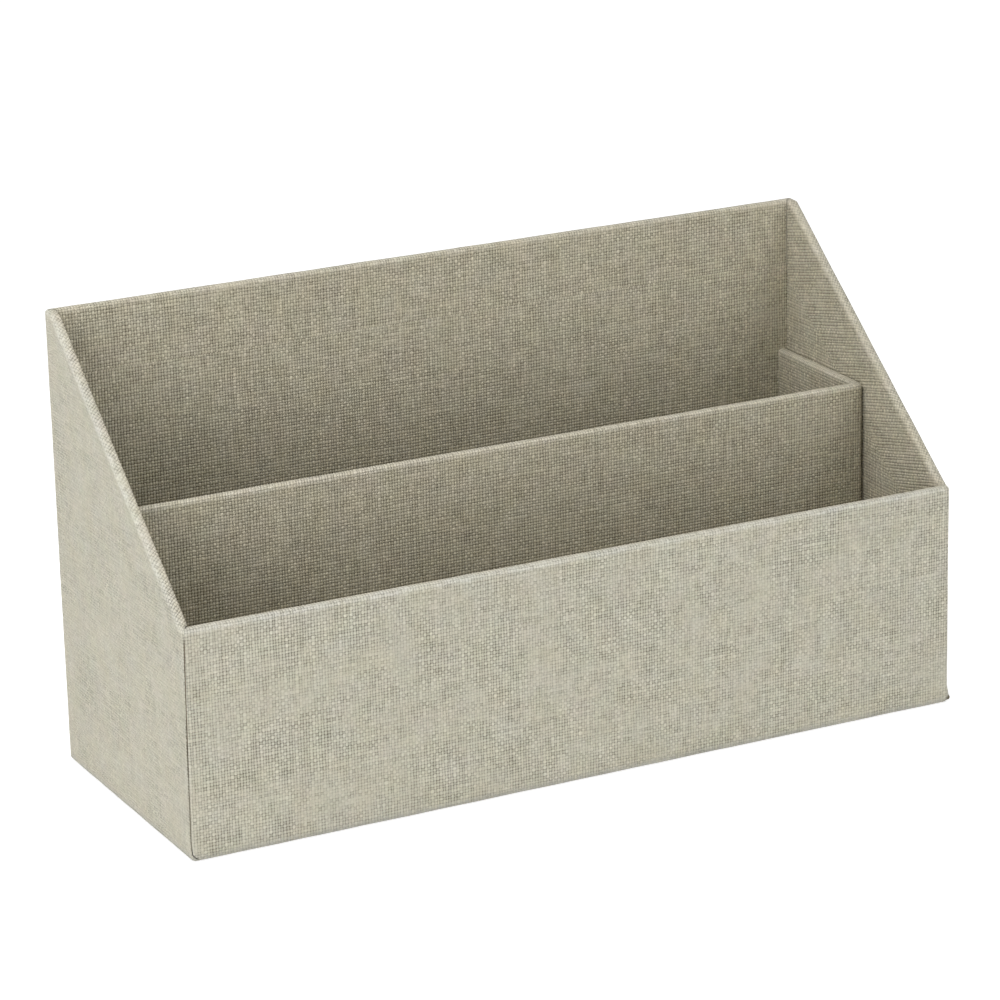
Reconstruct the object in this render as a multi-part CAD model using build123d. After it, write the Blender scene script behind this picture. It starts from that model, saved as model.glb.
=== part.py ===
"""Letter holder of cloth-covered board: low front, tall back, sloping sides and a divider insert.

Millimetres. The origin is at the middle of the underside, +X to the right, -Y to the front, +Z up.
"""
import os
from math import hypot

from build123d import *

# Overall sizes, over the cloth
overall_width = 250.0
overall_depth = 93.0
back_height = 139.0
front_height = 69.2
back_flat = 4.6  # level length of each side's top at the back, before its slope starts
front_flat = 1.5  # level length at the front, where the slope has ended

# Stock thicknesses
board = 1.9
cloth = 0.4
paper = 0.3
tape = 0.1  # gummed paper of the corner stays, and the paste beside it under the wrap

# Outer wrap
turn_in = 20.0  # width of cloth turned over the rim to the inside
turn_under = 15.0  # width of cloth turned under the bottom edge
fold_radius = 0.9  # rounding where cloth is drawn over an edge
seam_gap = 0.3  # open line where the two ends of the wrap meet

# Underside sheet and corner stays
sheet_margin = 2.5  # from the outer edges of the base
stay_leg = 12.0
stay_margin = 3.0  # from the rim and from the bottom edge

# Divider insert
insert_height = 91.0
divider_setback = 45.0  # from the outside of the front to the middle of the divider
insert_gap = 0.3  # between the insert and the walls that it is glued to
insert_turn_in = 20.0
bend_radius = 3.0  # outside corner between the divider and a wing, over the cloth

overrun = 5.0  # how far cutting blocks reach past what they cut

# Distances in from the outside of a wall
core_inset = cloth + tape  # to the outside of its board
wall_inset = core_inset + board  # to the inside of its board
room_inset = wall_inset + cloth  # to the inside of its cloth

# Heights
board_foot = paper + cloth  # the boards stand on the turned-under cloth
base_top = board_foot + board
floor_top = base_top + cloth

# Places in plan
half_width = overall_width / 2
half_depth = overall_depth / 2
insert_half = half_width - room_inset - insert_gap
insert_back = half_depth - room_inset - insert_gap
divider_middle = divider_setback - half_depth
divider_front = divider_middle - board / 2  # the two faces of the divider's board
divider_rear = divider_middle + board / 2

side_run = overall_depth - back_flat - front_flat
side_rise = (back_height - front_height) / side_run  # of the slope, per length of depth


def block(low, high):
    """Box between its lowest and its highest corner."""
    size = [top - bottom for bottom, top in zip(low, high)]
    middle = [(top + bottom) / 2 for bottom, top in zip(low, high)]
    return Pos(*middle) * Box(*size)


def side_outline(top_inset, end_inset, foot):
    """Side view of the holder, held in evenly from the rim and from both ends, cut level at the foot."""
    front = end_inset - half_depth
    back = half_depth - end_inset
    slope_start = front_flat - half_depth
    slope_foot = front_height - top_inset * hypot(1, side_rise)

    def under(front_top, back_top):
        return Polygon((front, foot), (back, foot), (back, back_top), (front, front_top), align=None)

    front_slope, back_slope = [slope_foot + side_rise * (y - slope_start) for y in (front, back)]
    front_level = front_height - top_inset
    back_level = back_height - top_inset
    outline = under(front_slope, back_slope) + under(front_level, front_level)
    return Plane.YZ * (outline & under(back_level, back_level))


def side_slab(outer_inset, inner_inset, outline):
    """Slab of the right side wall, between two distances in from its outside."""
    slab = extrude(outline, inner_inset - outer_inset, dir=(1, 0, 0))
    return Pos(half_width - inner_inset, 0, 0) * slab


def end_slab(outer_inset, inner_inset, reach, foot, top):
    """Slab of the front wall between two distances in from its outside, as wide as twice its reach."""
    return block((-reach, outer_inset - half_depth, foot), (reach, inner_inset - half_depth, top))


def level_block(width_inset, depth_inset, foot, top):
    """Box centred over the base, held in from the sides and from the front and back."""
    reach_x = half_width - width_inset
    reach_y = half_depth - depth_inset
    return block((-reach_x, -reach_y, foot), (reach_x, reach_y, top))


def to_left(solid):
    return mirror(solid, about=Plane.YZ)


def to_back(solid):
    return mirror(solid, about=Plane.XZ)


def wall_boards():
    """The base between the four walls, and the front and back between the two sides."""
    side = side_slab(core_inset, wall_inset, side_outline(core_inset, core_inset, board_foot))
    between = half_width - wall_inset
    front = end_slab(core_inset, wall_inset, between, board_foot, front_height - core_inset)
    back = to_back(end_slab(core_inset, wall_inset, between, board_foot, back_height - core_inset))
    return {
        "base_board": level_block(wall_inset, wall_inset, board_foot, base_top),
        "front_board": front,
        "back_board": back,
        "left_side_board": to_left(side),
        "right_side_board": side,
    }


def corner_stays():
    """Four strips of gummed tape, each bent round a corner of the walls under the wrap."""
    outline = side_outline(stay_margin, cloth, board_foot + stay_margin)
    skin = extrude(outline, half_width - cloth, both=True)
    skin -= level_block(core_inset, core_inset, 0, back_height)
    reach_x = half_width - core_inset - stay_leg
    reach_y = half_depth - core_inset - stay_leg
    skin -= block((-reach_x, -overall_depth, 0), (reach_x, overall_depth, back_height))
    skin -= block((-overall_width, -reach_y, 0), (overall_width, reach_y, back_height))
    return skin


def wall_cores():
    """Room that the outer wrap leaves for the boards, the stays and the paste."""
    side = side_slab(cloth, wall_inset, side_outline(cloth, cloth, board_foot))
    reach = half_width - cloth
    front = end_slab(cloth, wall_inset, reach, board_foot, front_height - cloth)
    back = to_back(end_slab(cloth, wall_inset, reach, board_foot, back_height - cloth))
    return side + to_left(side) + front + back


def lining_rooms():
    """Room on the inside of the walls below the turned-in cloth."""
    side = side_slab(wall_inset, room_inset, side_outline(turn_in, wall_inset, board_foot))
    reach = half_width - wall_inset
    front = end_slab(wall_inset, room_inset, reach, board_foot, front_height - turn_in)
    back = to_back(end_slab(wall_inset, room_inset, reach, board_foot, back_height - turn_in))
    return side + to_left(side) + front + back


def covered_side():
    """Right side wall with its cloth, rounded wherever the cloth is drawn over an edge."""
    wall = side_slab(0, room_inset, side_outline(0, 0, paper))
    inner_edges = wall.faces().sort_by(Axis.X)[0].edges()
    joined = inner_edges.filter_by(Axis.Z) + inner_edges.sort_by(Axis.Z)[:1]
    return fillet([edge for edge in wall.edges() if edge not in joined], fold_radius)


def covered_front(top):
    """Front wall with its cloth, between the sides, of the given height."""
    wall = end_slab(0, room_inset, half_width - room_inset, paper, top)
    long_edges = wall.edges().filter_by(Axis.X)
    joined = long_edges.group_by(Axis.Y)[-1].sort_by(Axis.Z)[0]
    return fillet([edge for edge in long_edges if edge != joined], fold_radius)


def outer_wrap():
    """One strip of cloth round the four walls, turned in at the rim and under at the bottom."""
    body = covered_side() + to_left(covered_side())
    body += covered_front(front_height)
    body += to_back(covered_front(back_height))
    body += level_block(room_inset, room_inset, paper, board_foot)
    body -= level_block(turn_under, turn_under, paper - overrun, board_foot)
    body -= wall_cores()
    body -= lining_rooms()
    seam_left = cloth - half_width
    seam = block(
        (seam_left, -half_depth - overrun, paper - overrun),
        (seam_left + seam_gap, cloth - half_depth, front_height + overrun),
    )
    return body - seam


def underside_sheet():
    """Paper over the turned-under cloth, pressed up against the base board in the middle."""
    sheet = level_block(sheet_margin, sheet_margin, 0, paper)
    sheet += level_block(turn_under, turn_under, 0, board_foot)
    return sheet - level_block(turn_under + paper, turn_under + paper, -overrun, cloth)


def linings():
    """Cloth on the floor and on the four walls up to the turned-in edge of the wrap."""
    side = side_slab(wall_inset, room_inset, side_outline(turn_in, wall_inset, floor_top))
    reach = half_width - room_inset
    front = end_slab(wall_inset, room_inset, reach, floor_top, front_height - turn_in)
    back = to_back(end_slab(wall_inset, room_inset, reach, floor_top, back_height - turn_in))
    return {
        "floor_lining": level_block(wall_inset, wall_inset, base_top, floor_top),
        "front_lining": front,
        "back_lining": back,
        "left_lining": to_left(side),
        "right_lining": side,
    }


def insert_prism(side_inset, front, bend, foot, top):
    """Solid of the insert's plan, from its rounded front corners to its open back."""
    reach = insert_half - side_inset
    plan = Polygon((-reach, front), (reach, front), (reach, insert_back), (-reach, insert_back), align=None)
    plan = fillet(plan.vertices().group_by(Axis.Y)[0], bend)
    return Pos(0, 0, foot) * extrude(plan, top - foot, dir=(0, 0, 1))


def insert_hollow(side_inset, front, top):
    """Block that clears the inside of the insert, from one depth to past its back."""
    reach = insert_half - side_inset
    return block((-reach, front, floor_top - overrun), (reach, insert_back + overrun, top))


def insert_pieces():
    """Divider and two wings in one cloth cover, lined on the inside."""
    board_top = insert_height - cloth
    lining_top = insert_height - insert_turn_in
    wing_inner = cloth + board  # distance in to the inside of a wing's board
    clear_inner = wing_inner + cloth
    clear_rear = divider_rear + cloth
    above = insert_height + overrun

    frame = insert_prism(cloth, divider_front, bend_radius - cloth, floor_top, board_top)
    frame -= insert_hollow(wing_inner, divider_rear, above)
    divider = frame - insert_hollow(-overrun, divider_rear, above)
    wing = frame - divider - block((-insert_half, divider_front, 0), (0, insert_back, above))

    cover = insert_prism(0, divider_front - cloth, bend_radius, floor_top, insert_height)
    cover -= insert_hollow(clear_inner, clear_rear, above)
    cover = fillet(cover.edges().group_by(Axis.Z)[-1], fold_radius)
    cover -= insert_hollow(wing_inner, divider_rear, lining_top)
    cover -= frame

    inside_reach = insert_half - wing_inner
    lining = block((-inside_reach, divider_rear, floor_top), (inside_reach, insert_back, lining_top))
    lining -= insert_hollow(clear_inner, clear_rear, above)
    return {
        "divider_board": divider,
        "left_wing_board": to_left(wing),
        "right_wing_board": wing,
        "insert_cover": cover,
        "insert_lining": lining,
    }


def main():
    nodes = {"outer_wrap": outer_wrap(), "underside_sheet": underside_sheet(), "corner_stays": corner_stays()}
    nodes.update(wall_boards())
    nodes.update(linings())
    nodes.update(insert_pieces())
    os.makedirs("parts", exist_ok=True)
    for name, solid in nodes.items():
        export_step(solid, f"parts/{name}.step")


main()
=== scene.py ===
"""Looks of the letter holder: woven cloth drawn over board, standing in a white studio. Metres."""
from collections import namedtuple
from math import copysign, cos, hypot, pi, radians, sin, sqrt

import bpy
from mathutils import Matrix, Vector, noise


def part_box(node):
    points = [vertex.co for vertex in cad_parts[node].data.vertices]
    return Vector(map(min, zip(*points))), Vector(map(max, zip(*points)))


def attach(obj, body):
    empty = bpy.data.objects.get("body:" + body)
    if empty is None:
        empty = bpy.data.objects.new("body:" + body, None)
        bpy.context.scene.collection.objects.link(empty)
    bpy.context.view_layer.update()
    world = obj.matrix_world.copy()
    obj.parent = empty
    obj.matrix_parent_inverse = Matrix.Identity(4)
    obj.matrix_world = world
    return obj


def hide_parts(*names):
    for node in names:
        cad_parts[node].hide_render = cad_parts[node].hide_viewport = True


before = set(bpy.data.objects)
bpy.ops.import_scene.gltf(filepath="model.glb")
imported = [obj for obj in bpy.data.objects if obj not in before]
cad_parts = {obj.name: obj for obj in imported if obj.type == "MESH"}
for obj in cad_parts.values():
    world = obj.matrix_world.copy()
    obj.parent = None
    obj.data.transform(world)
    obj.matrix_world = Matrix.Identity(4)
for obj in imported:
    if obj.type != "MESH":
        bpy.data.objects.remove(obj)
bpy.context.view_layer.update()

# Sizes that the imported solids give
wrap_low, wrap_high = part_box("outer_wrap")
floor_low, floor_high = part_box("floor_lining")
front_lining_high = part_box("front_lining")[1]
right_lining_low, right_lining_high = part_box("right_lining")
insert_low, insert_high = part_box("insert_cover")
insert_lining_low, insert_lining_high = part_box("insert_lining")
paper_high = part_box("underside_sheet")[1]
half_width = wrap_high.x
half_depth = wrap_high.y
back_height = wrap_high.z
foot = wrap_low.z
cloth = floor_high.z - floor_low.z
floor_top = floor_high.z
core_inset = half_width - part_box("right_side_board")[1].x
front_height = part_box("front_board")[1].z + core_inset
wall_inset = half_width - right_lining_high.x
room_inset = half_width - right_lining_low.x
turn_in = front_height - front_lining_high.z
insert_front = insert_low.y
insert_back = insert_high.y
insert_height = insert_high.z
insert_wall = insert_lining_low.y + cloth - insert_front
insert_lining_top = insert_lining_high.z

# Sizes of the cloth work
front_flat = 0.0015  # level length of each side's rim in front of its slope
back_flat = 0.0046  # and behind it
knee_round = 0.0006  # rounding of the rim where it turns from level to sloping
fold_radius = 0.0009
inner_radius = 0.0003  # inside corners
bend_radius = 0.003  # corner between the divider and a wing, as the cloth is measured
edge_radius = 0.0017  # and as it is pressed on the outside
insert_ease = 0.0002  # how far the cloth on the wings is pressed in
turn_under = 0.015
seam_gap = 0.0003
seam_foot_gap = 0.0006
seam_tuck = 0.00012  # how far the two edges of the seam are pressed in
seam_tuck_reach = 0.00024
seam_lean = 0.0014  # how far the seam runs back onto the side on its way down
seam_flare = 0.0034  # how far it swings out again at its foot, onto the front
seam_flare_height = 0.0035
seam_end = 0.003  # where the seam starts to close below the front rim
seam_end_length = 0.0015
seam_reach = 0.006  # length of wall on each side that gives way to the swing
seam_step_shares = (0, 0.02, 0.05, 0.1, 0.2, 0.35, 0.6)  # of that length, columns beside the seam
seam_angle_share = 0.74  # place of the seam round the corner, from the side towards the front
notch_gap = 0.0009  # opening between the two ends on top of the rim
notch_share = 0.55  # its place across the rim, from the outside
notch_reach_share = 0.4
bunch = 0.0007  # how far the gathered cloth stands out at the foot of the front right corner
bunch_reach = 0.001
bunch_height = 0.0009
bunch_rise = 0.0015  # of its middle above the foot
bunch_past = 0.0001  # of its middle past the corner, on the side
bunch_shade_depth = 2.6  # painted shade on the gathered cloth, deep painted shade where it is past 1
wear_and_light_reach = 0.0009  # how far wear and painted light fade out past a rounded edge
foot_shade_reach = 0.0013  # and painted shade above the rounded foot
corner_wear = 0.3  # of the upright corners, beside that of the rims
insert_wear = (1.0, 0.9)  # of the outer and the inner edge of the insert's rim
inside_fill = -0.48  # the weave inside the holder is more open than outside
insert_fill = -0.62  # and on the insert still more
squeeze = 0.02  # end of a run that is drawn shorter where the wall is followed further in
ripple = 0.00009  # how far the pasted cloth stands off in places
ripple_length = 0.016
ripple_lift = 0.5  # of that height, where the wave is at its mean
fine_ripple_share = 0.5
fine_ripple_turns = 2.3  # finer waves to one of the coarse ones
paper = 0.0003
paper_step = 0.0012  # length over which the paper rises from the turned-under cloth to the board

# Rows and columns of the sheets
mesh_step = 0.0025
wide_step = 2 * mesh_step
paper_mesh_step = 4 * mesh_step
arc_steps = 5
turn_in_steps = 8
turn_under_steps = 3
lining_steps = 14
beside_corner = 0.0008  # last columns of a wall before its corners
fade_shares = (0.25, 0.6, 1)  # rows over which wear and painted highlight, and the painted shade at the foot, fade out
face_shares = (0.065, 0.11, *(i / 12 for i in range(2, 12)), 0.94)  # rows up the outside of a wall
paper_step_shares = (0, 0.25, 0.5, 0.75, 1)
sharp_angle = radians(50)

# The weave
warp_pitch = 0.00091
weft_pitch = 0.00094
warp_seed = 7.31  # steps through the noise from one thread to the next
weft_seed = 5.77
cloth_seed_step = (0.37, 0.23, 0)  # and from one cloth to the next
thread_detail = 1.0
thread_relief = 0.0005
drift_across = 0.45  # how fast the spacing of threads changes from one to the next
drift_along = 0.05  # and along them
drift_reach = 0.65
slub_along = 0.11
slub_span = (0.28, 0.72)  # range of the slub noise that is used
half_thread_span = (0.4, 0.55)  # half the width of a thread, thin and thick, in pitches
warp_levels = (0.53, 0.45)  # mean height of a thread, and how far it rises and falls
weft_levels = (0.47, 0.45)
crown_span = (0.86, 1.08)  # height of single crossings
bead_span = (0.9, 1.075)  # and their tone
mean_noise = 0.5  # middle of a noise's range
gap_shade_span = (0.1, 0.64)  # heights between which the painted gap shade gives way to the thread's colour
warp_colours = ((0.632, 0.607, 0.489, 1), (0.73, 0.705, 0.582, 1))
weft_colours = ((0.565, 0.54, 0.43, 1), (0.665, 0.64, 0.52, 1))
# painted shade in the weave's gaps, standing in for the threads' self-shadowing; also the deep shade on
# the gathered cloth
deep_shade_colour = (0.118, 0.104, 0.066, 1)
size_colour = (0.48, 0.449, 0.361, 1)  # starch that fills the weave in places
hue_spread = (0.065, 0.02, 0.115)  # how far single patches differ in red, green and blue
inside_shade_tone = (0.985, 0.945, 0.885, 1)  # cloth inside the holder, against that outside: painted shade, darker and warmer
# paler colour of wear and painted highlight on the rims and corners
wear_and_highlight_colour = (0.77, 0.75, 0.655, 1)
# painted shade at the foot and on rim edges facing away from the lamps
painted_shade_colour = (0.5, 0.49, 0.43, 1)
wear_and_highlight_gap_share = 0.5  # how much of the wear and painted highlight reaches the gaps
cloud_scale = 60.0
cloud_detail = 1.5
cloud_weight = 1.5
streak_scale = 420.0  # of the streaks that follow the threads
streak_share = 0.2  # and how much slower they change along the threads
streak_weight = 0.36
hue_scale = 110.0
breakup_scale = 700.0
breakup_span = (0.35, 0.65)  # range of the noise that breaks up wear, painted highlight and painted shade, that is used
fibre_scale = 9000.0
fibre_relief_share = 0.12
crown_fill_share = 0.6  # how much the gaps of single crossings differ
fill_span = (1.08, 1.98)
film_share = 0.5  # how far the size also covers the threads there
filled_relief_share = 0.55  # of the relief that is left there
breakup_levels = (0.35, 0.9)
cloth_roughness = (0.95, 0.8)  # in the gaps and on the threads
cloth_specular = 0.25
sheen = 0.12
sheen_roughness = 0.5

# Boards and papers: dark and light of their clouds, their flecks, and how fine the clouds are
board_colours = ((0.17, 0.16, 0.15, 1), (0.25, 0.24, 0.22, 1), (0.36, 0.34, 0.31, 1))
board_scale = 60.0
tape_colours = ((0.19, 0.15, 0.1, 1), (0.25, 0.2, 0.135, 1), (0.13, 0.1, 0.065, 1))
tape_scale = 90.0
paper_colours = ((0.56, 0.53, 0.46, 1), (0.64, 0.61, 0.54, 1), (0.42, 0.38, 0.31, 1))
paper_scale = 45.0
fibre_cloud_span = (0.3, 0.7)
fibre_cloud_detail = 4.0
fleck_turns = 22  # flecks to one of the clouds
fleck_span = (0.6, 0.75)
fleck_strength = 0.6
tooth = 0.00005  # height of the fibres
tooth_strength = 0.5
fibre_sheen_span = (0.2, 0.8)  # range of the clouds over which the roughness changes
fibre_roughness = (0.8, 0.95)
fibre_specular = 0.2

# The camera
camera_place = (-0.537872, -1.061528, 0.457958)
camera_azimuth = radians(-26.751)
camera_elevation = radians(17.922)
camera_roll = radians(-1.371)
focal_pixels = 4219.547
frame_pixels = 1000
sensor_width = 36.0

# The studio
sky_strength = 0.81  # straight above and below, fading to the horizon
white = (1, 1, 1, 1)
floor_colour = (0.8, 0.8, 0.8, 1)
floor_glow = 0.41  # light of the floor's own, as the object gets it
seen_floor_glow = 0.64  # and as the camera sees it
shade_reach = 0.003  # how far from the holder the floor's light is held back
floor_reach = 4.0
# Softboxes: place, size and power
softboxes = {
    "left": ((-0.85, -0.6, 0.3), 0.5, 2.7),
    "right": ((0.55, -1.0, 0.35), 0.5, 2.28),
    "top": ((-0.35, 0.0, 0.75), 0.5, 2.28),
}

side_run = 2 * half_depth - back_flat - front_flat
side_rise = (back_height - front_height) / side_run
slope_length = hypot(1, side_rise)
wall_turn = half_width + half_depth  # from the middle of one wall to that of the next, along the cloth
corner_length = fold_radius * pi / 2
insert_half = insert_high.x - insert_ease
insert_straight = insert_half - bend_radius  # from the middle of the divider to its bend
insert_bend = bend_radius * pi / 2
insert_wing = insert_back - insert_front - bend_radius
insert_length = insert_straight + insert_bend + insert_wing

Wall = namedtuple("Wall", "along out reach away wear fill")
Row = namedtuple("Row", "inset kind place past fold")
Point = namedtuple("Point", "x y z u v fold fill inside")
Thread = namedtuple("Thread", "index offset slub")

# Front, right, back and left wall: its directions, the wear and painted light of its rim's outer and
# inner edge (above 0 wear and painted highlight, below 0 painted shade, as on the right wall's outer
# edge), and how far size fills its weave
walls = [
    Wall((1, 0), (0, -1), half_width, half_depth, (1.0, 1.0), 0.0),
    Wall((0, 1), (1, 0), half_depth, half_width, (-0.5, 0.9), 0.0),
    Wall((-1, 0), (0, 1), half_width, half_depth, (0.6, 0.6), 0.0),
    Wall((0, -1), (-1, 0), half_depth, half_width, (1.0, 0.6), 0.43),
]


def mixed(a, b, share):
    return a + (b - a) * share


def eased(share):
    share = min(max(share, 0), 1)
    return share * share * (3 - 2 * share)


def evenly(low, high, step):
    """Places from low to high, about a step apart."""
    count = max(1, round(abs(high - low) / step))
    return [mixed(low, high, i / count) for i in range(count + 1)]


def soft_min(a, b, width):
    share = min(max(0.5 + (b - a) / (2 * width), 0), 1)
    return mixed(b, a, share) - width * share * (1 - share)


def soft_max(a, b, width):
    return -soft_min(-a, -b, width)


def slope_height(y):
    return front_height + side_rise * (y + half_depth - front_flat)


def side_rim(y, depth, past):
    """Height of a side's rim at a depth below it, and the place on the flat cloth of what lies there."""
    sloping = slope_height(y) - slope_length * depth
    z = soft_min(soft_max(sloping, front_height - depth, knee_round), back_height - depth, knee_round)
    off_slope = (slope_height(y) - z) / slope_length
    turned = min(max(past / room_inset, 0), 1)
    reach = depth + past + 2 * (off_slope - depth) * turned
    return z, y - side_rise * reach / slope_length, z + reach / slope_length


def rim_rows(thickness, depth, steps):
    """Rows of cloth over a rim, from below its outer rounding to its turned-in edge."""
    rows = []
    for share in reversed(fade_shares):
        place = fold_radius + wear_and_light_reach * share
        rows.append(Row(0, "rim", place, -place, 1 - share))
    for i in range(arc_steps + 1):
        angle = pi / 2 * i / arc_steps
        inset = fold_radius * (1 - cos(angle))
        rows.append(Row(inset, "rim", fold_radius * (1 - sin(angle)), fold_radius * (angle - 1), 1))
    past = fold_radius * (pi / 2 - 1) + thickness - 2 * fold_radius
    for i in range(arc_steps + 1):
        angle = pi / 2 * i / arc_steps
        inset = thickness - fold_radius * (1 - sin(angle))
        rows.append(Row(inset, "rim", fold_radius * (1 - cos(angle)), past + fold_radius * angle, 1))
    past += fold_radius * (pi / 2 - 1)
    for share in fade_shares:
        place = fold_radius + wear_and_light_reach * share
        rows.append(Row(thickness, "rim", place, past + place, 1 - share))
    inside = fold_radius + wear_and_light_reach
    for place in evenly(inside, depth, (depth - inside) / steps)[1:]:
        rows.append(Row(thickness, "rim", place, past + place, 0))
    return rows


def face_rows():
    """Rows up the outside of a wall as shares of its height."""
    return [Row(0, "face", share, 0, 0) for share in face_shares]


def foot_rows():
    """Rows of the turned-under cloth, from its raw edge out and round to the foot of the wall, which gets
    painted contact shade.
    """
    rows = []
    arc = fold_radius * pi / 2
    for inset in evenly(turn_under, fold_radius, (turn_under - fold_radius) / turn_under_steps):
        rows.append(Row(inset, "foot", foot, foot + fold_radius - arc - (inset - fold_radius), 0))
    for i in range(1, arc_steps + 1):
        angle = pi / 2 * i / arc_steps
        inset = fold_radius * (1 - sin(angle))
        height = foot + fold_radius * (1 - cos(angle))
        rows.append(Row(inset, "foot", height, foot - arc + fold_radius * (1 + angle), -1))
    for share in fade_shares:
        height = foot + fold_radius + foot_shade_reach * share
        rows.append(Row(0, "foot", height, height, share - 1))
    return rows


def corner_radius(inset):
    return mixed(fold_radius, inner_radius, min(inset / room_inset, 1))


def run_place(wall, place, inset):
    """Where a place along the outside of a wall comes further in, drawn shorter only near the corners."""
    free = wall.reach - fold_radius - squeeze
    past = abs(place) - free
    if past <= 0:
        return place
    end = wall.reach - inset - corner_radius(inset)
    return copysign(free + past * (end - free) / squeeze, place)


def wall_at(index):
    return walls[index % len(walls)]


def wall_point(index, place, row):
    """A point of the outer wrap on a straight run of one wall."""
    wall = wall_at(index)
    along = run_place(wall, place, row.inset)
    x, y = (a * along + o * (wall.away - row.inset) for a, o in zip(wall.along, wall.out))
    turn = wall.along[1]
    height = back_height if y > 0 else front_height
    flat_along = along
    if row.kind == "foot":
        z = row.place
        flat_up = row.past
    elif row.kind == "face":
        low = foot + fold_radius
        top = side_rim(y, fold_radius, 0)[0] if turn else height - fold_radius
        z = flat_up = mixed(low, top, row.place)
    elif turn:
        z, flat_y, flat_up = side_rim(y, row.place, row.past)
        flat_along = flat_y * turn
    else:
        z = height - row.place
        flat_up = height + row.past
    # the rim's wear and painted light, set per wall and changing across the rim's depth
    wear = mixed(*wall.wear, row.inset / room_inset) if row.kind == "rim" else 1
    if row.inset == 0:
        fill = wall.fill
    else:
        fill = 0 if row.fold else inside_fill
    inside = eased(row.inset / room_inset) if row.kind == "rim" else 0
    return Point(x, y, z, flat_along + index * wall_turn, flat_up, row.fold * wear, fill, inside)


def corner_point(index, share, row):
    """A point of the outer wrap on the rounded corner after one wall."""
    ends = [wall_at(i).reach - fold_radius for i in (index, index + 1)]
    first = wall_point(index, ends[0], row)
    second = wall_point(index + 1, -ends[1], row)
    radius = corner_radius(row.inset)
    out_first, out_second = wall_at(index).out, wall_at(index + 1).out
    angle = share * pi / 2
    x, y = (
        start + radius * (a * (cos(angle) - 1) + b * sin(angle))
        for start, a, b in zip(first[:2], out_first, out_second)
    )
    z = mixed(first.z, second.z, eased(share))
    u, v, fold, fill, inside = (mixed(a, b, share) for a, b in zip(first[3:], second[3:]))
    fold += corner_wear * sin(pi * share) * (1 - abs(fold))
    return Point(x, y, z, u, v, fold, fill, inside)


def ring_point(s, row):
    """A point of the outer wrap at a length along its outside, from where the front runs straight."""
    if s < -corner_length:
        return wall_point(-1, walls[-1].reach - fold_radius + corner_length + s, row)
    if s < 0:
        return corner_point(-1, 1 + s / corner_length, row)
    for index in range(len(walls) + 1):
        end = wall_at(index).reach - fold_radius
        if s <= 2 * end:
            return wall_point(index, s - end, row)
        s -= 2 * end
        if s <= corner_length:
            return corner_point(index, s / corner_length, row)
        s -= corner_length


def ring_length():
    runs = sum(2 * (wall.reach - fold_radius) for wall in walls)
    return runs + len(walls) * corner_length


def ring_stations():
    """Lengths along the outside of the wrap, close together round the corners."""
    stations = []
    knees = []
    s = 0
    for wall in walls:
        run = 2 * (wall.reach - fold_radius)
        between = evenly(beside_corner, run - beside_corner, mesh_step)
        stations += [s, *[s + place for place in between], s + run]
        stations += [s + run + corner_length * i / arc_steps for i in range(1, arc_steps)]
        if wall.along[1]:
            knees.append(s + run / 2 + wall.along[1] * (half_depth - back_flat))
        s += run + corner_length
    return sorted(stations + knees)


def seam_opening(row, height):
    """Width of the open line between the wrap's two ends: shut at the rim but for a notch on its top."""
    if row.kind == "rim" and row.inset > 0:
        from_notch = abs(row.inset / room_inset - notch_share)
        return notch_gap * eased(1 - from_notch / notch_reach_share)
    gap = mixed(seam_foot_gap, seam_gap, height / front_height)
    return gap * (1 - eased((height - front_height + seam_end) / seam_end_length))


def gathered_share(s, row, height):
    """How far the cloth is gathered at a place by the foot of the front right corner."""
    if row.kind == "rim":
        return 0
    corner = 2 * (half_width - fold_radius) + corner_length / 2
    along = (s - corner - bunch_past) / bunch_reach
    up = (height - foot - bunch_rise) / bunch_height
    return sqrt(max(0, 1 - along**2 - up**2))


def drawn_point(s, row, seam, whole):
    """A point of the outer wrap, drawn aside near the seam and gathered at the foot of one corner."""
    from_seam = min(s - seam, whole + seam - s)
    side = 1 if s - seam < whole / 2 else -1
    near_seam = max(0, 1 - from_seam / seam_reach)
    height = ring_point(s, row).z
    swing = seam_flare * (1 - min((height - foot) / seam_flare_height, 1)) ** 2
    swing -= seam_lean * (1 - min(height / front_height, 1))
    opening = seam_opening(row, height)
    inset = row.inset
    if row.inset == 0:
        inset += seam_tuck * opening / seam_gap * max(0, 1 - from_seam / seam_tuck_reach)
    gathered = gathered_share(s, row, height)
    row = row._replace(inset=inset - bunch * gathered)
    point = ring_point(s + (swing + side * opening / 2) * near_seam, row)
    # painted shade on the gathered cloth, where its side lies in shade
    return point._replace(fold=mixed(point.fold, -bunch_shade_depth, gathered))


def wrap_grid():
    """The outer wrap as columns of points, from one edge of its seam round to the other."""
    whole = ring_length()
    seam = (seam_angle_share - 1) * corner_length
    beside = [seam_reach * share for share in seam_step_shares]
    middle = [s for s in ring_stations() if seam + seam_reach < s < whole + seam - seam_reach]
    last = [whole + seam - step for step in reversed(beside)]
    stations = [seam + step for step in beside] + middle + last
    rows = foot_rows() + face_rows() + rim_rows(room_inset, turn_in, turn_in_steps)
    return [[drawn_point(s, row, seam, whole) for row in rows] for s in stations]


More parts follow.
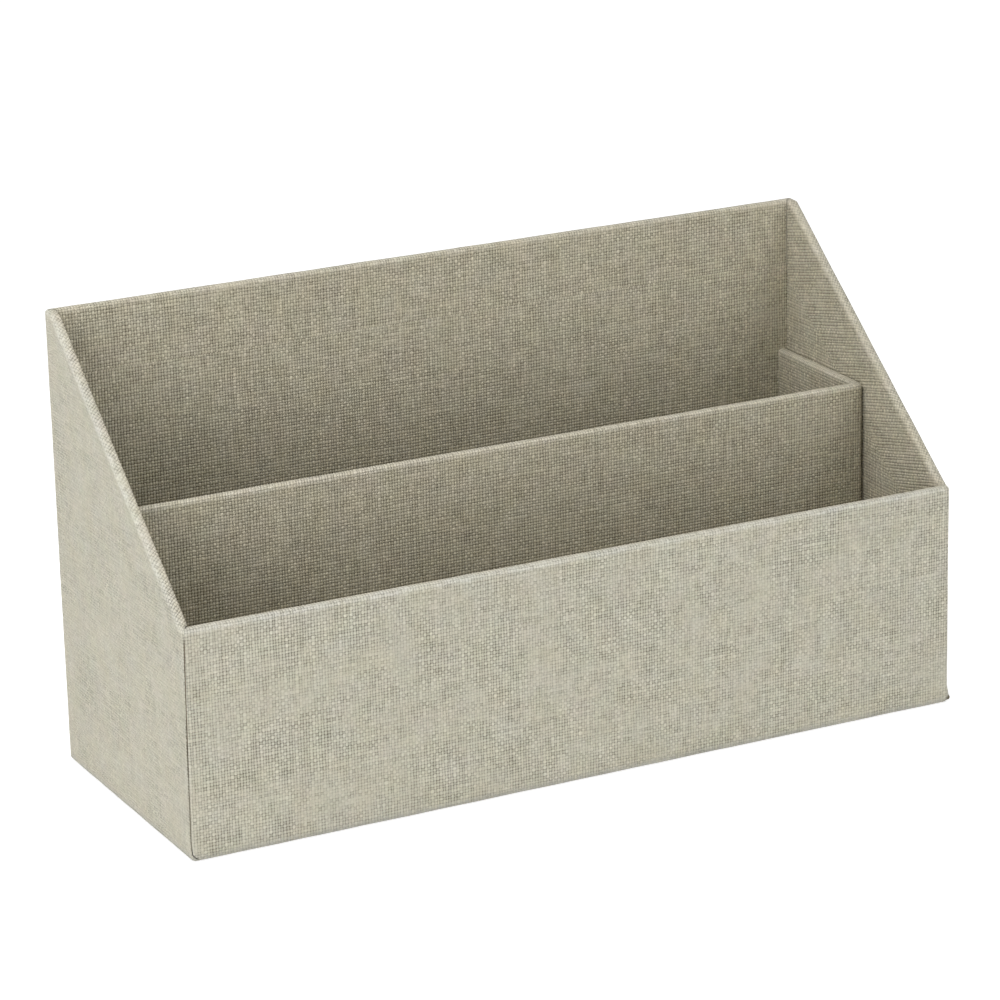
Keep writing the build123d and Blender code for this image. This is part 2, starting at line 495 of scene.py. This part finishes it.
def insert_point(s, row):
    """A point of the insert's cloth at a length along its outside, from the middle of the divider."""
    past = abs(s) - insert_straight
    past_bend = past - insert_bend
    radius = mixed(edge_radius, inner_radius, row.inset / insert_wall)
    angle = min(max(past / bend_radius, 0), pi / 2)
    run_x = insert_half - row.inset - radius
    run_y = insert_back - insert_front - row.inset - radius
    x = copysign(run_x * min(abs(s) / insert_straight, 1) + radius * sin(angle), s)
    y = insert_back - run_y * (1 - max(past_bend / insert_wing, 0)) - radius * cos(angle)
    if row.kind == "face":
        z = flat_up = mixed(floor_top, insert_height - fold_radius, row.place)
    else:
        z = insert_height - row.place
        flat_up = insert_height + row.past
    fold = row.fold * mixed(*insert_wear, row.inset / insert_wall)
    return Point(x, y, z, s, flat_up, fold, insert_fill, 1)


def insert_stations():
    """Lengths along the outside of the insert, close together round its bends."""
    bend_end = insert_straight + insert_bend
    bend = evenly(insert_straight, bend_end, insert_bend / (2 * arc_steps))
    half = evenly(0, insert_straight, mesh_step)[:-1] + bend
    half += evenly(bend_end, insert_length, mesh_step)[1:]
    return [-s for s in reversed(half[1:])] + half


def insert_cover_grid():
    turned = rim_rows(insert_wall, insert_height - insert_lining_top, turn_in_steps)
    rows = [Row(0, "face", 0, 0, 0), *face_rows(), *turned]
    return [[insert_point(s, row) for row in rows] for s in insert_stations()]


def insert_lining_grid():
    depths = evenly(insert_height - insert_lining_top, insert_height - floor_top, wide_step)
    rows = [Row(insert_wall, "rim", depth, -depth, 0) for depth in depths]
    return [[insert_point(s, row) for row in rows] for s in insert_stations()]


def wall_lining_grid(index, reach):
    """The lining of one wall, from the turned-in edge of the wrap down to the floor."""
    wall = walls[index]
    grid = []
    for along in evenly(-reach, reach, mesh_step):
        x, y = (a * along + o * (wall.away - room_inset) for a, o in zip(wall.along, wall.out))
        top = (back_height if y > 0 else front_height) - turn_in
        if wall.along[1]:
            top = side_rim(y, turn_in, 0)[0]
        heights = evenly(top, floor_top, (top - floor_top) / lining_steps)
        grid.append([Point(x, y, z, along, z, 0, inside_fill, 1) for z in heights])
    return grid


def floor_grid():
    places_x = evenly(floor_low.x, floor_high.x, wide_step)
    places_y = evenly(floor_low.y, floor_high.y, wide_step)
    return [[Point(x, y, floor_top, x, y, 0, inside_fill, 1) for y in places_y] for x in places_x]


def underside_grid():
    """The paper underneath: level round its edge, pressed up past the edge of the turned-under cloth."""
    margin_x = half_width - turn_under
    margin_y = half_depth - turn_under

    def places(end, step_at):
        near = [step_at - paper_step * share for share in paper_step_shares]
        half = evenly(0, near[-1], paper_mesh_step)[:-1] + sorted(near)
        half += evenly(step_at, end, wide_step)[1:]
        return [-place for place in reversed(half[1:])] + half

    grid = []
    for x in places(paper_high.x, margin_x):
        column = []
        for y in reversed(places(paper_high.y, margin_y)):
            inside = min(margin_x - abs(x), margin_y - abs(y))
            column.append(Point(x, y, cloth * eased(inside / paper_step), x, y, 0, 0, 0))
        grid.append(column)
    return grid


def thicken(piece, thickness):
    """Gives a sheet its thickness, away from the face that shows, with sharp raw edges."""
    solid = piece.modifiers.new("thickness", "SOLIDIFY")
    solid.thickness = thickness
    solid.offset = -1
    shown = piece.evaluated_get(bpy.context.evaluated_depsgraph_get())
    thick = bpy.data.meshes.new_from_object(shown)
    piece.modifiers.clear()
    bare = piece.data
    name = bare.name
    piece.data = thick
    bpy.data.meshes.remove(bare)
    thick.name = name
    thick.set_sharp_from_angle(angle=sharp_angle)


def sheet_object(piece_name, grid, thickness, ripple_height):
    """A sheet with its cloth coordinates, made from columns of points that show its outer face."""
    columns, rows = len(grid), len(grid[0])
    points = [point for column in grid for point in column]
    faces = []
    for i in range(columns - 1):
        for j in range(rows - 1):
            a = i * rows + j
            faces.append((a, a + rows, a + rows + 1, a + 1))
    mesh = bpy.data.meshes.new(piece_name)
    mesh.from_pydata([point[:3] for point in points], [], faces)
    flat = mesh.uv_layers.new(name="cloth")
    for loop in mesh.loops:
        point = points[loop.vertex_index]
        flat.data[loop.index].uv = (point.u, point.v)
    for name in ("fold", "fill", "inside"):
        values = mesh.attributes.new(name, "FLOAT", "POINT")
        values.data.foreach_set("value", [getattr(point, name) for point in points])
    mesh.update()
    normals = [vertex.normal.copy() for vertex in mesh.vertices]
    for vertex, normal in zip(mesh.vertices, normals):
        wave = noise.noise(vertex.co / ripple_length)
        wave += fine_ripple_share * noise.noise(vertex.co * fine_ripple_turns / ripple_length)
        vertex.co += normal * ripple_height * max(ripple_lift + wave, 0)
    mesh.polygons.foreach_set("use_smooth", [True] * len(mesh.polygons))
    piece = bpy.data.objects.new(piece_name, mesh)
    bpy.context.scene.collection.objects.link(piece)
    thicken(piece, thickness)
    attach(piece, "root")
    return piece


class Tree:
    """Short calls for building a node tree."""

    def __init__(self, tree):
        self.tree = tree
        tree.nodes.clear()

    def node(self, kind, inputs=None, **settings):
        made = self.tree.nodes.new(kind)
        for name, value in settings.items():
            setattr(made, name, value)
        for name, value in (inputs or {}).items():
            self.feed(made.inputs[name], value)
        return made

    def feed(self, socket, value):
        if isinstance(value, bpy.types.NodeSocket):
            self.tree.links.new(value, socket)
        else:
            socket.default_value = value

    def math(self, operation, *values, clamp=False):
        inputs = dict(enumerate(values))
        return self.node("ShaderNodeMath", inputs, operation=operation, use_clamp=clamp).outputs[0]

    def times(self, value, factor):
        return self.math("MULTIPLY", value, factor)

    def vector(self, operation, *values):
        inputs = dict(enumerate(values))
        return self.node("ShaderNodeVectorMath", inputs, operation=operation).outputs[0]

    def scaled(self, vector, scale):
        inputs = {"Vector": vector, "Scale": scale}
        return self.node("ShaderNodeVectorMath", inputs, operation="SCALE").outputs[0]

    def joined(self, x, y):
        return self.node("ShaderNodeCombineXYZ", {"X": x, "Y": y}).outputs[0]

    def split(self, vector):
        return self.node("ShaderNodeSeparateXYZ", {"Vector": vector}).outputs[:2]

    def noise(self, vector, scale, detail=2.0, output="Fac", dimensions="2D"):
        inputs = {"Vector": vector, "Scale": scale, "Detail": detail}
        return self.node("ShaderNodeTexNoise", inputs, noise_dimensions=dimensions).outputs[output]

    def ranged(self, value, low, high, to_low, to_high):
        inputs = {"Value": value, "From Min": low, "From Max": high, "To Min": to_low, "To Max": to_high}
        return self.node("ShaderNodeMapRange", inputs).outputs[0]

    def mix(self, share, a, b, blend="MIX"):
        inputs = {0: share, 6: a, 7: b}
        return self.node("ShaderNodeMix", inputs, data_type="RGBA", blend_type=blend).outputs[2]


def new_material(name):
    material = bpy.data.materials.new(name)
    material.use_nodes = True
    return material, Tree(material.node_tree)


def finish_material(tree, inputs):
    shader = tree.node("ShaderNodeBsdfPrincipled", inputs)
    tree.node("ShaderNodeOutputMaterial", {"Surface": shader.outputs[0]})


def thread_set(tree, across, along, seed):
    """One set of parallel threads: which one lies at a place, how far off its middle, how thick it is."""
    spread = tree.joined(tree.times(across, drift_across), tree.times(along, drift_along))
    drift = tree.math("SUBTRACT", tree.noise(spread, 1.0, thread_detail), mean_noise)
    place = tree.math("MULTIPLY_ADD", drift, drift_reach, across)
    index = tree.math("FLOOR", place)
    offset = tree.math("SUBTRACT", tree.math("FRACT", place), 0.5)
    spun = tree.joined(tree.times(index, seed), tree.times(along, slub_along))
    return Thread(index, offset, tree.noise(spun, 1.0, thread_detail))


def thread_height(tree, thread, rise, level, lift):
    """Height of a thread across its round section, higher where it passes over the other set."""
    half = tree.ranged(thread.slub, *slub_span, *half_thread_span)
    ratio = tree.math("DIVIDE", thread.offset, half)
    body = tree.math("SUBTRACT", 1.0, tree.math("MULTIPLY", ratio, ratio), clamp=True)
    return tree.math("MULTIPLY", tree.math("SQRT", body), tree.math("MULTIPLY_ADD", rise, lift, level))


def bow(tree, offset):
    """How far a thread stands over the crossing thread, by the distance from that one's middle."""
    return tree.math("COSINE", tree.times(offset, pi))


def cloth_material(name, seed):
    """Plain-woven linen: uneven threads over and under, filled in clouds, paler with wear and painted
    highlight on folds, with painted shade in its gaps, at the foot and inside.
    """
    material, tree = new_material(name)
    flat = tree.node("ShaderNodeUVMap", uv_map="cloth").outputs[0]
    flat = tree.vector("ADD", flat, [seed * step for step in cloth_seed_step])
    u, v = tree.split(tree.vector("DIVIDE", flat, (warp_pitch, weft_pitch, 1)))
    warp = thread_set(tree, u, v, warp_seed)
    weft = thread_set(tree, v, u, weft_seed)
    parity = tree.math("FLOORED_MODULO", tree.math("ADD", warp.index, weft.index), 2.0)
    over = tree.math("MULTIPLY_ADD", parity, -2.0, 1.0)
    under = tree.times(over, -1.0)
    warp_rise = tree.math("MULTIPLY", over, bow(tree, weft.offset))
    weft_rise = tree.math("MULTIPLY", under, bow(tree, warp.offset))
    crossing = tree.joined(warp.index, weft.index)
    crown = tree.node("ShaderNodeTexWhiteNoise", {"Vector": crossing}, noise_dimensions="2D")
    crown = crown.outputs["Value"]
    warp_height = thread_height(tree, warp, warp_rise, *warp_levels)
    weft_height = thread_height(tree, weft, weft_rise, *weft_levels)
    height = tree.math("MAXIMUM", warp_height, weft_height)
    height = tree.math("MULTIPLY", height, tree.ranged(crown, 0.0, 1.0, *crown_span))

    # fold: above 0 wear and painted highlight, from 0 to -1 painted shade, below -1 deep painted shade
    fold = tree.node("ShaderNodeAttribute", attribute_name="fold").outputs["Fac"]
    breakup = tree.ranged(tree.noise(flat, breakup_scale), *breakup_span, *breakup_levels)
    wear_and_highlight = tree.math("MULTIPLY", tree.math("MAXIMUM", fold, 0.0), breakup)
    painted_shade = tree.math("MULTIPLY", tree.math("MAXIMUM", tree.times(fold, -1.0), 0.0), breakup)
    fill = tree.node("ShaderNodeAttribute", attribute_name="fill").outputs["Fac"]
    clouds = tree.noise(flat, cloud_scale, cloud_detail)
    upright = tree.noise(tree.vector("MULTIPLY", flat, (1, streak_share, 1)), streak_scale)
    level = tree.noise(tree.vector("MULTIPLY", flat, (streak_share, 1, 1)), streak_scale)
    streaks = tree.times(tree.math("ADD", upright, level), streak_weight)
    fill = tree.math("ADD", fill, tree.math("MULTIPLY_ADD", clouds, cloud_weight, streaks))
    fill = tree.math("MULTIPLY_ADD", crown, crown_fill_share, fill)
    filled = tree.ranged(fill, *fill_span, 0.0, 1.0)

    weft_shows = tree.math("GREATER_THAN", weft_height, warp_height)
    warp_colour = tree.mix(tree.ranged(warp.slub, *slub_span, 0.0, 1.0), *warp_colours)
    weft_colour = tree.mix(tree.ranged(weft.slub, *slub_span, 0.0, 1.0), *weft_colours)
    thread = tree.mix(weft_shows, warp_colour, weft_colour)
    thread = tree.scaled(thread, tree.ranged(crown, 0.0, 1.0, *bead_span))
    thread = tree.mix(tree.times(filled, film_share), thread, size_colour)
    # paler threads where there is wear and painted highlight
    thread = tree.mix(wear_and_highlight, thread, wear_and_highlight_colour)
    # painted shade in the gaps, giving way to the size's own colour where it fills them
    gap = tree.mix(filled, deep_shade_colour, size_colour)
    gap = tree.mix(tree.times(wear_and_highlight, wear_and_highlight_gap_share), gap, wear_and_highlight_colour)
    tint = tree.vector("SUBTRACT", tree.noise(flat, hue_scale, output="Color"), [mean_noise] * 3)
    tint = tree.vector("ADD", tree.vector("MULTIPLY", tint, hue_spread), (1, 1, 1))
    inside = tree.node("ShaderNodeAttribute", attribute_name="inside").outputs["Fac"]
    # painted shade inside the holder: darker and warmer than outside
    tint = tree.vector("MULTIPLY", tint, tree.mix(inside, white, inside_shade_tone))
    # painted shade on low threads and in the gaps
    colour = tree.mix(tree.ranged(height, *gap_shade_span, 0.0, 1.0), gap, thread)
    # painted shade at the foot and on the right rim's outer edge
    colour = tree.mix(painted_shade, tree.vector("MULTIPLY", colour, tint), painted_shade_colour)
    # deep painted shade in the gaps' colour on the gathered cloth at one foot
    deep_shade = tree.math("SUBTRACT", tree.times(fold, -1.0), 1.0, clamp=True)
    colour = tree.mix(deep_shade, colour, deep_shade_colour)

    fibre = tree.noise(flat, fibre_scale)
    relief = tree.math("MULTIPLY_ADD", fibre, fibre_relief_share, height)
    relief = tree.math("MULTIPLY", relief, tree.ranged(filled, 0.0, 1.0, 1.0, filled_relief_share))
    bump = tree.node("ShaderNodeBump", {"Height": relief, "Distance": thread_relief, "Strength": 1.0})
    finish_material(tree, {
        "Base Color": colour,
        "Roughness": tree.ranged(height, 0.0, 1.0, *cloth_roughness),
        "Normal": bump.outputs[0],
        "Specular IOR Level": cloth_specular,
        "Sheen Weight": sheen,
        "Sheen Roughness": sheen_roughness,
    })
    return material


def fibre_material(name, dark, light, speck, scale):
    """Pressed fibre, such as grey board or paper: flecks, soft clouds and a faint tooth."""
    material, tree = new_material(name)
    place = tree.node("ShaderNodeTexCoord").outputs["Object"]
    clouds = tree.noise(place, scale, fibre_cloud_detail, dimensions="3D")
    flecks = tree.noise(place, scale * fleck_turns, dimensions="3D")
    colour = tree.mix(tree.ranged(clouds, *fibre_cloud_span, 0.0, 1.0), dark, light)
    colour = tree.mix(tree.ranged(flecks, *fleck_span, 0.0, fleck_strength), colour, speck)
    bump = tree.node("ShaderNodeBump", {"Height": flecks, "Distance": tooth, "Strength": tooth_strength})
    finish_material(tree, {
        "Base Color": colour,
        "Roughness": tree.ranged(clouds, *fibre_sheen_span, *fibre_roughness),
        "Normal": bump.outputs[0],
        "Specular IOR Level": fibre_specular,
    })
    return material


def paint_boards():
    grey = fibre_material("grey_board", *board_colours, board_scale)
    kraft = fibre_material("gummed_tape", *tape_colours, tape_scale)
    for name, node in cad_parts.items():
        if name.endswith("_board"):
            node.data.materials.clear()
            node.data.materials.append(grey)
    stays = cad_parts["corner_stays"]
    stays.data.materials.clear()
    stays.data.materials.append(kraft)


def dress(name, grid, material, thickness=cloth, ripple_height=ripple):
    """Puts a sheet in the place of a solid."""
    piece = sheet_object(name + "_cloth", grid, thickness, ripple_height)
    piece.data.materials.append(material)
    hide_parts(name)


def make_cloth():
    cover = cloth_material("cover_linen", 1)
    insert = cloth_material("insert_linen", 3)
    lining = cloth_material("lining_linen", 2)
    wall_boards = ["front_board", "right_side_board", "back_board", "left_side_board"]
    dress("outer_wrap", wrap_grid(), cover)
    dress("insert_cover", insert_cover_grid(), insert)
    dress("insert_lining", insert_lining_grid(), lining)
    for index, (side, carrier) in enumerate(zip(("front", "right", "back", "left"), wall_boards)):
        reach = half_depth - wall_inset if walls[index].along[1] else half_width - room_inset
        grid = wall_lining_grid(index, reach)
        dress(side + "_lining", grid, lining)
    dress("floor_lining", floor_grid(), lining)
    base_paper = fibre_material("base_paper", *paper_colours, paper_scale)
    dress("underside_sheet", underside_grid(), base_paper, paper, 0)


def make_camera():
    data = bpy.data.cameras.new("camera")
    data.sensor_width = sensor_width
    data.lens = focal_pixels * sensor_width / frame_pixels
    forward = Vector((
        -sin(camera_azimuth) * cos(camera_elevation),
        cos(camera_azimuth) * cos(camera_elevation),
        -sin(camera_elevation),
    ))
    right = forward.cross(Vector((0, 0, 1))).normalized()
    up = right.cross(forward)
    turned_right = cos(camera_roll) * right + sin(camera_roll) * up
    turned_up = cos(camera_roll) * up - sin(camera_roll) * right
    camera = bpy.data.objects.new("camera", data)
    turn = Matrix((turned_right, turned_up, -forward)).transposed()
    camera.matrix_world = Matrix.Translation(camera_place) @ turn.to_4x4()
    bpy.context.scene.collection.objects.link(camera)
    bpy.context.scene.camera = camera


def make_light(name, place, target, size, power):
    data = bpy.data.lights.new(name, "AREA")
    data.size = size
    data.energy = power
    lamp = bpy.data.objects.new(name, data)
    lamp.location = place
    lamp.rotation_euler = (Vector(target) - Vector(place)).to_track_quat("-Z", "Y").to_euler()
    bpy.context.scene.collection.objects.link(lamp)


def seen_share(tree):
    """1 where the surface is seen, straight or in a reflection, and 0 where it only lights the rest."""
    path = tree.node("ShaderNodeLightPath").outputs
    seen = tree.math("MAXIMUM", path["Is Camera Ray"], path["Is Glossy Ray"])
    return tree.math("MAXIMUM", seen, path["Is Transmission Ray"])


def make_sky():
    """White where it is seen; as light, strongest straight above and below."""
    world = bpy.data.worlds.new("studio")
    world.use_nodes = True
    tree = Tree(world.node_tree)
    towards = tree.node("ShaderNodeTexCoord").outputs["Generated"]
    rise = tree.node("ShaderNodeSeparateXYZ", {"Vector": towards}).outputs["Z"]
    light = tree.times(tree.math("ABSOLUTE", rise), sky_strength)
    strength = tree.math("MAXIMUM", light, seen_share(tree))
    sky = tree.node("ShaderNodeBackground", {"Color": white, "Strength": strength})
    tree.node("ShaderNodeOutputWorld", {"Surface": sky.outputs[0]})
    bpy.context.scene.world = world


def floor_material():
    """White with a faint glow that ends short of the holder, and clear from below."""
    material, tree = new_material("white_floor")
    lit = tree.node("ShaderNodeBsdfDiffuse", {"Color": floor_colour})
    place = tree.node("ShaderNodeNewGeometry").outputs["Position"]
    past = tree.vector("SUBTRACT", tree.vector("ABSOLUTE", place), (half_width, half_depth, 0))
    past = tree.vector("MAXIMUM", past, (0, 0, 0))
    distance = tree.node("ShaderNodeVectorMath", {0: past}, operation="LENGTH").outputs["Value"]
    unseen_glow = tree.ranged(distance, 0.0, shade_reach, 0.0, floor_glow)
    glow_strength = tree.ranged(seen_share(tree), 0.0, 1.0, unseen_glow, seen_floor_glow)
    glow = tree.node("ShaderNodeEmission", {"Color": white, "Strength": glow_strength})
    shown = tree.node("ShaderNodeAddShader", {0: lit.outputs[0], 1: glow.outputs[0]})
    below = tree.node("ShaderNodeNewGeometry").outputs["Backfacing"]
    clear = tree.node("ShaderNodeBsdfTransparent")
    surface = tree.node("ShaderNodeMixShader", {0: below, 1: shown.outputs[0], 2: clear.outputs[0]})
    tree.node("ShaderNodeOutputMaterial", {"Surface": surface.outputs[0]})
    return material


def make_floor():
    """The floor, open under the holder so that light from below reaches its underside."""
    mesh = bpy.data.meshes.new("floor")
    signs = ((-1, -1), (1, -1), (1, 1), (-1, 1))
    edge = [(floor_reach * x, floor_reach * y, 0) for x, y in signs]
    opening_x = half_width - fold_radius
    opening_y = half_depth - fold_radius
    opening = [(opening_x * x, opening_y * y, 0) for x, y in signs]
    mesh.from_pydata(edge + opening, [], [(0, 1, 5, 4), (1, 2, 6, 5), (2, 3, 7, 6), (3, 0, 4, 7)])
    floor = bpy.data.objects.new("floor", mesh)
    bpy.context.scene.collection.objects.link(floor)
    mesh.materials.append(floor_material())


def make_lamps():
    middle = (0, 0, back_height / 2)
    for name, (place, size, power) in softboxes.items():
        make_light(name + "_softbox", place, middle, size, power)


def main():
    paint_boards()
    make_cloth()
    make_camera()
    make_sky()
    make_floor()
    make_lamps()
    bpy.context.scene.view_settings.view_transform = "Standard"


main()
